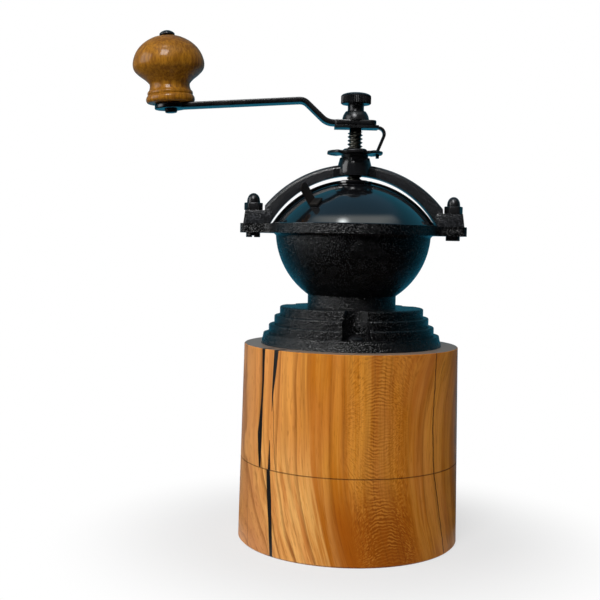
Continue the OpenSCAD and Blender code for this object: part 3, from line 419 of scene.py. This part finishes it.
def knobFinish(name, grain):  # brown varnish over short grained wood
    skin = Finish(name, Coat_Roughness=0.10, Coat_IOR=1.45, Specular_IOR_Level=0.10)
    place = skin.inMm()
    streak = skin.noise(skin.stretch(place, (1, 1, 0.09)), 0.80, 4, 0.62)
    fleck = skin.rise(skin.noise(skin.stretch(place, (1, 1, 0.18)), 2.4, 2), 0.54, 0.68)
    cloud = skin.noise(place, 0.06, 2)
    colour = skin.blend(skin.rise(streak * 0.75 + cloud * 0.25, 0.33, 0.64), grain["pale"], grain["deep"])
    colour = skin.blend(fleck * 0.55, colour, grain["line"])
    skin.put(Base_Color=colour, Roughness=0.36 + streak * 0.12, Coat_Weight=0.16 + cloud * 0.16)
    skin.relief(streak - fleck * 0.6, depth=0.03, strength=0.25)
    return skin.material


finishes = {"wood": woodFinish("oiledWood", woodGrain), "knob_wood": knobFinish("varnishedWood", knobGrain),
            "resin": resinFinish("blackResin"), "casting": castFinish("pebbledCoat", castLook),
            "bridge": castFinish("satinCasting", bridgeLook), "dome": enamelFinish("glossEnamel", enamelLook),
            "black_steel": steelFinish("blackSteel", blackLook), "bare_steel": steelFinish("bareSteel", bareLook),
            "burr": steelFinish("burrIron", burrLook), "bronze": steelFinish("bushBronze", bronzeLook)}
ownFinish = {"drive_shaft": steelFinish("spindleSteel", spindleLook), "door_tab": steelFinish("tabPaint", tabLook),
             "crank_arm": steelFinish("crankPaint", crankLook)}
ownFinish["dome_eyelet"], ownFinish["locking_clip"] = ownFinish["door_tab"], ownFinish["crank_arm"]
for nodeName, node in cadNodes.items():
    for slot in node.material_slots:
        slot.material = ownFinish.get(nodeName) or finishes[slotOf[nodeName]]
print("finishes made:", len(bpy.data.materials))


def leaveEdit():
    if bpy.context.mode != "OBJECT":
        bpy.ops.object.mode_set(mode="OBJECT")


def edit(action="SELECT"):  # edit mode with everything picked, or nothing
    bpy.ops.object.mode_set(mode="EDIT")
    bpy.ops.mesh.select_all(action=action)


def dropPicks():
    leaveEdit()
    bpy.ops.object.select_all(action="DESELECT")


def pick(piece):
    dropPicks()
    piece.select_set(True)
    bpy.context.view_layer.objects.active = piece


def smooth(angle):
    bpy.ops.object.shade_smooth_by_angle(angle=math.radians(angle))


def closeUp(angle=gentle):  # doubles merged, faces outwards, smooth where the turn is gentle
    edit()
    bpy.ops.mesh.remove_doubles(threshold=weld)
    bpy.ops.mesh.normals_make_consistent(inside=False)
    leaveEdit()
    smooth(angle)


def drawOutline(name, outline, start=0.0):  # a chain of edges through (radius, height) in mm
    dropPicks()
    bpy.ops.mesh.primitive_plane_add(size=mm)
    piece = bpy.context.object
    piece.name = name
    edit()
    bpy.ops.mesh.merge(type="CENTER")
    last = Vector((0, 0, 0))
    for k, (r, z) in enumerate(outline):
        spot = Vector((r * math.cos(start), r * math.sin(start), z)) * mm
        if k:
            bpy.ops.mesh.extrude_region_move(TRANSFORM_OT_translate={"value": spot - last})
        else:
            bpy.ops.transform.translate(value=spot)
        last = spot
    bpy.ops.mesh.select_all(action="SELECT")
    return piece


def turned(name, outline, steps=96, start=0.0, sweep=360.0):
    piece = drawOutline(name, outline, math.radians(start))
    angle = -math.radians(sweep)  # minus: to the left
    bpy.ops.mesh.spin(steps=steps, angle=angle, center=(0, 0, 0), axis=(0, 0, 1))
    closeUp()
    return piece


def joined(main, *others):
    dropPicks()
    for piece in (main, *others):
        piece.select_set(True)
    bpy.context.view_layer.objects.active = main
    bpy.ops.object.join()
    return main


def copied(piece, name):  # with its own mesh
    pick(piece)
    bpy.ops.object.duplicate()
    bpy.context.object.name = name
    return bpy.context.object


def carried(piece, x=0.0, y=0.0, z=0.0):  # moved by mm, and the move kept in the mesh
    pick(piece)
    piece.location = Vector((x, y, z)) * mm
    bpy.ops.object.transform_apply(location=True)
    return piece


def modify(piece, kind, **settings):
    pick(piece)
    bpy.ops.object.modifier_add(type=kind)
    made = piece.modifiers[-1]
    for key, value in settings.items():
        setattr(made, key, value)
    bpy.ops.object.modifier_apply(modifier=made.name)


def flow(points, parts):  # a smooth line through points
    line = []
    for k in range(len(points) - 1):
        a, b, c, d = (Vector(points[min(max(k + j, 0), len(points) - 1)]) for j in (-1, 0, 1, 2))
        for n in range(parts):
            t = n / parts
            line.append(tuple(0.5 * (2 * b + (c - a) * t + (2 * a - 5 * b + 4 * c - d) * t ** 2
                                     + (3 * b - a - 3 * c + d) * t ** 3)))
    return line + [tuple(points[-1])]


def settle(piece, node):  # the piece stands for a node and moves with its body
    piece.data.materials.clear()
    piece.data.materials.append(ownFinish.get(node) or finishes[slotOf[node]])
    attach(piece, bodyOf[node])
    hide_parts(node)


# cover and door: sheet domes round the same centre, flat on top; lift is the foot above the node's lowest point
domes = {"sheet": 1.0, "land": 10.0, "lap": 5.0, "step": 2.0, "rows": 30,
         "cover": {"node": "dome_cover", "radius": 53.0, "hole": 5.65, "facing": 90.0, "lift": 1.19},
         "door": {"node": "dome_door", "radius": 51.55, "hole": 5.85, "facing": -90.0, "lift": 0.0},
         "hem": {"out": 45.5, "in": 43.96, "high": 1.2, "round": 0.3}}
domeCentre = reach("dome_cover")[1].z - math.sqrt(domes["cover"]["radius"] ** 2 - domes["land"] ** 2)


def sheetDome(name, dome):
    low, high = (corner.z for corner in reach(dome["node"]))
    top, foot = (math.acos((level - domeCentre) / dome["radius"]) for level in (high, low + dome["lift"]))
    arc = [top + (foot - top) * k / domes["rows"] for k in range(domes["rows"] + 1)]
    side = [(dome["radius"] * math.sin(a), domeCentre + dome["radius"] * math.cos(a)) for a in arc]
    sweep = 180 + 2 * domes["lap"]
    start = dome["facing"] - sweep / 2
    shell = turned(name, side, round(sweep / domes["step"]), start, sweep)
    land = turned(name + "Land", [(dome["hole"], high), side[0]], round(360 / domes["step"]), start)
    joined(shell, land)
    closeUp()
    modify(shell, "SOLIDIFY", thickness=domes["sheet"] * mm, offset=-1)
    pick(shell)
    smooth(gentle)
    return shell


def coverHem(hem):
    low = reach("dome_cover")[0].z
    high = low + hem["high"]
    return turned("coverHem", [(hem["in"], low), (hem["out"], low), (hem["out"], high - hem["round"]),
                               (hem["out"] - hem["round"], high), (hem["in"], high), (hem["in"], low)], steps=180)


settle(joined(sheetDome("coverShell", domes["cover"]), coverHem(domes["hem"])), "dome_cover")
settle(sheetDome("doorShell", domes["door"]), "dome_door")
print("cover and door made")


# threaded spindle with its squares, each sunk a little into the next
spindle = {"radius": 4.15, "threadFrom": 190.0, "pitch": 2.05, "turns": 16, "steps": 48, "root": 3.1, "end": 0.6,
           "profile": ((0, 1), (0.12, 1), (0.44, 0), (0.66, 0), (1, 1)),  # share of the pitch, crest or root
           "clip": 1.6, "neck": 3.0, "neckSide": 6.3, "tangSide": 5.4, "edge": 0.25, "stud": 2.5, "studEnd": 0.4,
           "deepSeat": 1.0, "seat": 0.5, "crease": 35}


def threadedRod():
    pitch, crest, root = spindle["pitch"], spindle["radius"], spindle["root"]
    rod = drawOutline("spindleRod", [(crest if high else root, spindle["threadFrom"] + pitch * share)
                                     for share, high in spindle["profile"]])
    leaveEdit()
    modify(rod, "SCREW", axis="Z", screw_offset=pitch * mm, iterations=spindle["turns"], steps=spindle["steps"],
           render_steps=spindle["steps"], use_merge_vertices=True, merge_threshold=weld)
    closeUp(spindle["crease"])
    edit("DESELECT")
    bpy.ops.mesh.select_non_manifold()
    bpy.ops.mesh.edge_face_add()
    closeUp(spindle["crease"])
    return rod


def squareBar(name, side, low, high):
    dropPicks()
    bpy.ops.mesh.primitive_cube_add(size=1, location=(0, 0, (low + high) / 2 * mm))
    bar = bpy.context.object
    bar.name = name
    bar.dimensions = (side * mm, side * mm, (high - low) * mm)
    bpy.ops.object.transform_apply(location=True, rotation=True, scale=True)
    edit()
    bpy.ops.mesh.bevel(offset=spindle["edge"] * mm, segments=2)
    closeUp()
    return bar


def spindlePiece():
    foot, studTop = (corner.z for corner in reach("drive_shaft"))
    armLow, armTop = reach("crank_arm")[0].z, reach("thumb_nut")[0].z
    clipLow = armLow - spindle["clip"]
    r, end, stud, studEnd = (spindle[key] for key in ("radius", "end", "stud", "studEnd"))
    plain, studLow = spindle["threadFrom"] + spindle["deepSeat"], armTop - spindle["seat"]
    neckLow = clipLow - spindle["neck"] - spindle["deepSeat"]
    shank = turned("spindleShank", [(0, foot), (r - end, foot), (r, foot + end), (r, plain), (0, plain)], steps=64)
    neck = squareBar("spindleNeck", spindle["neckSide"], neckLow, clipLow)
    tang = squareBar("spindleTang", spindle["tangSide"], clipLow - spindle["seat"], armTop)
    tip = turned("spindleStud", [(0, studLow), (stud, studLow), (stud, studTop - studEnd),
                                 (stud - studEnd, studTop), (0, studTop)], steps=48)
    return joined(threadedRod(), shank, neck, tang, tip)


settle(spindlePiece(), "drive_shaft")
print("spindle threaded")


# thumb nut with a straight knurl
thumb = {"skirt": 7.4, "skirtHigh": 5.0, "neck": 4.5, "flare": (0.35, 0.4), "fillet": 0.5, "head": 8.3,
         "headLow": 8.9, "headHigh": 13.1, "headEdge": 0.6, "crown": 2.2, "bulge": 0.8, "ridges": 50,
         "cut": 0.38, "near": 0.05, "bore": 2.55, "boreDeep": 11.5, "crease": 24}


def thumbNut():
    low, high, r = thumb["headLow"], thumb["headHigh"], thumb["head"]
    neckR, skirtTop, fillet = thumb["neck"], thumb["skirtHigh"], thumb["fillet"]
    skirt = [(thumb["skirt"] * math.cos(a), thumb["skirt"] * math.sin(a)) for a in
             [math.asin(skirtTop / thumb["skirt"]) * k / 8 for k in range(9)]]
    neck = flow([(neckR + thumb["flare"][0], skirtTop), (neckR, skirtTop + fillet),
                 (neckR, low - fillet), (neckR + thumb["flare"][1], low)], 3)
    crown = [(r * math.cos(a) ** thumb["bulge"], high + thumb["crown"] * math.sin(a)) for a in
             [math.pi / 2 * k / 12 for k in range(1, 12)]] + [(0, high + thumb["crown"])]
    head = [(r - thumb["headEdge"], low), (r, low + fillet), (r, high)] + crown
    bore = [(0, thumb["boreDeep"]), (thumb["bore"], thumb["boreDeep"]), (thumb["bore"], 0)]
    nut = turned("thumbNut", bore + skirt + neck + head, 2 * thumb["ridges"])
    edit("DESELECT")
    bpy.ops.mesh.select_mode(type="VERT")
    leaveEdit()
    for v in nut.data.vertices:  # every second line of the rim is pressed in
        line = round(math.atan2(v.co.y, v.co.x) / math.pi * thumb["ridges"])
        onRim = abs(math.hypot(v.co.x, v.co.y) / mm - r) < thumb["near"]
        v.select = line % 2 == 0 and onRim and low < v.co.z / mm < high + 2 * thumb["near"]
    bpy.ops.object.mode_set(mode="EDIT")
    shrink = 1 - thumb["cut"] / r
    bpy.ops.transform.resize(value=(shrink, shrink, 1), center_override=(0, 0, 0))
    leaveEdit()
    smooth(thumb["crease"])
    return carried(nut, z=reach("thumb_nut")[0].z)


settle(thumbNut(), "thumb_nut")
print("thumb nut knurled")


# acorn nuts: chamfered hexagon under a bullet-shaped dome
acorn = {"flats": 9.1, "high": 4.2, "chamfer": 0.5, "off": 55.3, "sunk": 0.3,
         "dome": [(3.62, 4.1), (3.60, 5.2), (3.38, 6.5), (2.88, 7.7), (2.05, 8.7), (1.05, 9.3), (0, 9.5)]}


def acornNut():
    high, domeLow = acorn["high"], acorn["high"] - acorn["sunk"]
    dropPicks()
    bpy.ops.mesh.primitive_cylinder_add(vertices=6, radius=acorn["flats"] / math.sqrt(3) * mm, depth=high * mm,
                                        rotation=(0, 0, math.pi / 6), location=(0, 0, high / 2 * mm))
    hexagon = bpy.context.object
    hexagon.name = "acornNut"
    bpy.ops.object.transform_apply(location=True, rotation=True)
    edit()
    bpy.ops.mesh.bevel(offset=acorn["chamfer"] * mm, segments=3)
    closeUp()
    foot = [(0, domeLow), (acorn["dome"][0][0], domeLow)]
    return joined(hexagon, turned("acornDome", foot + flow(acorn["dome"], 4), steps=48))


right = acornNut()
left = copied(right, "acornNutLeft")
base = reach("acorn_nuts")[0].z
settle(joined(carried(right, acorn["off"], 0, base), carried(left, -acorn["off"], 0, base)), "acorn_nuts")
print("acorn nuts made")


# turned knob: foot roll, bead, waisted neck, flared underside and crown
knobShape = {"foot": [(11.4, 0.35), (12.6, 0.6), (13.15, 1.4), (13.3, 2.3), (13.05, 3.5), (12.45, 4.35)],
             "bead": [(12.2, 4.6), (12.4, 5.3), (12.3, 6.2), (11.8, 6.9)],
             "body": [(11.5, 7.2), (11.1, 8.4), (10.9, 9.4), (10.95, 10.4), (11.4, 11.4), (13.4, 13.4),
                      (16.6, 15.9), (18.8, 18.3), (19.5, 20.8), (19.25, 23.6), (18.0, 27.1), (15.9, 30.3),
                      (12.7, 33.2), (8.4, 35.6), (4.8, 36.6), (2.7, 36.8)],
             "armHalf": 1.4, "bore": 2.7, "clear": 0.35}
knobJoint = next(joint for joint in frame["joints"] if joint["name"] == "knob_spin")


def knobPiece():
    bore = [(knobShape["bore"], knobShape["clear"])]
    rolls = flow(knobShape["foot"], 4) + flow(knobShape["bead"], 4)
    knob = turned("turnedKnob", bore + rolls + flow(knobShape["body"], 5) + bore)
    axis = Vector(knobJoint["axis"])
    knob.location = Vector(knobJoint["pos_m"]) + axis * knobShape["armHalf"] * mm
    knob.rotation_euler = (0, math.atan2(axis.x, axis.z), 0)
    bpy.ops.object.transform_apply(location=True, rotation=True)
    return knob


settle(knobPiece(), "knob")
print("knob turned")


# pieces that keep their solid's shape and get their edges broken: width of the edge in mm
brokenEdges = {"crank_arm": 1.0, "locking_clip": 0.35, "adjuster_wheel": 0.45, "door_tab": 0.3,
               "bridge_arch": 0.8, "bridge_bolts": 0.7, "knob_pin": 0.4}
edgeCut = {"rows": 3, "flat": 0.5, "sharp": 40, "crease": 32}  # angles in degrees


def brokenEdge(node, width):
    piece = copied(cadNodes[node], node.title().replace("_", "") + "Edged")
    del piece["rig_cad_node"]
    bpy.ops.mesh.customdata_custom_splitnormals_clear()
    edit()
    bpy.ops.mesh.remove_doubles(threshold=weld)
    bpy.ops.mesh.dissolve_limited(angle_limit=math.radians(edgeCut["flat"]))
    leaveEdit()
    modify(piece, "BEVEL", width=width * mm, segments=edgeCut["rows"], limit_method="ANGLE",
           angle_limit=math.radians(edgeCut["sharp"]), use_clamp_overlap=True, harden_normals=False)
    smooth(edgeCut["crease"])
    return piece


for nodeName, width in brokenEdges.items():
    settle(brokenEdge(nodeName, width), nodeName)
print("edges broken on", len(brokenEdges), "pieces")


# studio: pale floor that runs out to white, a softbox from the upper left, soft light from the left side,
# and cards that only mirrors see: dark and coloured ones all round, a glowing one overhead; sizes in metres
studio = {"floor": (0.45, 0.45, 0.45, 1), "floorSize": 12, "whiteFrom": 0.065, "whiteTo": 0.17, "whiteNear": 0.66,
          "ambient": 0.19, "target": (0, 0, 0.13),
          "key": {"at": (-0.26, -0.85, 1.05), "size": (0.42, 0.42), "watts": 13.9},
          "side": {"at": (-1.15, -0.30, 0.55), "size": (0.8, 0.8), "watts": 8.8},
          "glow": {"size": 4.2, "high": 1.38, "centre": 0.64, "near": (0.84, 1.02), "far": (1.50, 1.70),
                   "side": (0.45, 1.25), "back": (0.0, 0.3), "strength": 1.15, "colour": (0.92, 1, 1, 1),
                   "spot": (-0.27, -0.46), "spotSize": 0.24, "spotStrength": 12.0, "spotColour": (0.95, 1, 1, 1)},
          "cards": {"radius": 2.2, "high": 3.6, "sides": 64, "inner": 0.075, "lie": 0.5 * mm,
                    "wallTurn": (-0.55, 0.5), "groundTurn": (0.45, 0.95), "skyFrom": (0.1, 0.495),
                    "front": (0.002, 0.0025, 0.003, 1), "back": (0.03, 0.19, 0.28, 1),
                    "ground": (0.035, 0.33, 0.52, 1), "sky": (0.085, 0.22, 0.33, 1)}}


def softLight(name, light):
    bpy.ops.object.light_add(type="AREA", location=light["at"])
    lamp = bpy.context.object
    lamp.name = name
    lamp.data.shape = "RECTANGLE"
    lamp.data.size, lamp.data.size_y = light["size"]
    lamp.data.energy = light["watts"]
    towards = Vector(studio["target"]) - Vector(light["at"])
    lamp.rotation_euler = towards.to_track_quat("-Z", "Y").to_euler()


def paleWorld():
    world = bpy.data.worlds.new("paleStudio")
    bpy.context.scene.world = world
    world.use_nodes = True
    sky = Board(world.node_tree)
    back = world.node_tree.nodes["Background"]
    back.inputs["Color"].default_value = (1, 1, 1, 1)
    sky.feed(back.inputs["Strength"], sky.seenRays() * (1 - studio["ambient"]) + studio["ambient"])


def paleFloor():
    dropPicks()
    bpy.ops.mesh.primitive_plane_add(size=studio["floorSize"])
    floor = bpy.context.object
    floor.name = "paleFloor"
    skin = Finish("paleFloor", Base_Color=studio["floor"], Roughness=0.9, Specular_IOR_Level=0.0)
    x, y = skin.split(skin.node("TexCoord", out="Object"))[:2]
    far = skin.rise(spread(x, y), studio["whiteFrom"], studio["whiteTo"])
    share = far * (1 - studio["whiteNear"]) + studio["whiteNear"]
    white = skin.node("Emission", sockets={"Color": (1, 1, 1, 1), "Strength": 1.0})
    shader = Wire(skin, skin.shader.outputs["BSDF"])
    skin.cover(skin.node("MixShader", sockets={0: share * skin.seenRays(), 1: shader, 2: white}))
    floor.data.materials.append(skin.material)


def mirrorOnly(card, name, material):
    card.name = name
    card.data.materials.append(material)
    card.visible_camera = card.visible_diffuse = card.visible_shadow = card.visible_transmission = False


def cardSkin(name, cards, back, turn):  # dark in front, coloured behind and overhead
    skin = Finish(name)
    x, y, z = skin.split(skin.node("TexCoord", out="Object"))
    colour = skin.blend(skin.rise(y / spread(x, y), *turn), cards["front"], back)
    skyLow, skyHigh = (cards["high"] * share for share in cards["skyFrom"])
    colour = skin.blend(skin.rise(z, skyLow, skyHigh), colour, cards["sky"])
    skin.cover(skin.node("Emission", sockets={"Color": colour, "Strength": 1.0}))
    return skin.material


def darkCards(cards):
    dropPicks()
    sides, radius = cards["sides"], cards["radius"]
    bpy.ops.mesh.primitive_cylinder_add(vertices=sides, radius=radius, depth=cards["high"],
                                        location=(0, 0, cards["high"] / 2))
    wall = bpy.context.object
    edit("DESELECT")
    leaveEdit()
    for face in wall.data.polygons:
        face.select = face.normal.z < -0.5
    bpy.ops.object.mode_set(mode="EDIT")
    bpy.ops.mesh.delete(type="ONLY_FACE")
    leaveEdit()
    bpy.ops.mesh.primitive_circle_add(vertices=sides, radius=radius, location=(0, 0, cards["lie"]))
    ground = bpy.context.object
    edit()
    bpy.ops.mesh.extrude_edges_move()
    shrink = cards["inner"] / radius
    bpy.ops.transform.resize(value=(shrink, shrink, 1), center_override=(0, 0, cards["lie"]))
    leaveEdit()
    mirrorOnly(wall, "cardWall", cardSkin("darkCard", cards, cards["back"], cards["wallTurn"]))
    mirrorOnly(ground, "cardGround", cardSkin("groundCard", cards, cards["ground"], cards["groundTurn"]))


def glowCard(glow):  # an arc of light overhead: the band and the bright spot low on the dome
    dropPicks()
    bpy.ops.mesh.primitive_plane_add(size=glow["size"], location=(0, 0, glow["high"]))
    card = bpy.context.object
    skin = Finish("glowCard")
    x, y = skin.split(skin.node("TexCoord", out="Object"))[:2]
    band = skin.within(spread(x, y - glow["centre"]), glow["near"], glow["far"])
    band = band * skin.fall(abs(x), *glow["side"]) * skin.fall(y, *glow["back"])
    spotX, spotY = glow["spot"]
    near = skin.fall(spread(x - spotX, y - spotY), 0.0, glow["spotSize"])
    clear = skin.node("BsdfTransparent")
    arc = skin.node("Emission", sockets={"Color": glow["colour"], "Strength": glow["strength"]})
    spot = skin.node("Emission", sockets={"Color": glow["spotColour"], "Strength": glow["spotStrength"]})
    seen = skin.node("MixShader", sockets={0: band, 1: clear, 2: arc})
    skin.cover(skin.node("MixShader", sockets={0: near * near, 1: seen, 2: spot}))
    mirrorOnly(card, "glowCard", skin.material)


for lampName in ("key", "side"):
    softLight(lampName + "Light", studio[lampName])
paleWorld()
paleFloor()
darkCards(studio["cards"])
glowCard(studio["glow"])
bpy.context.scene.view_settings.view_transform = "Standard"
print("studio set")
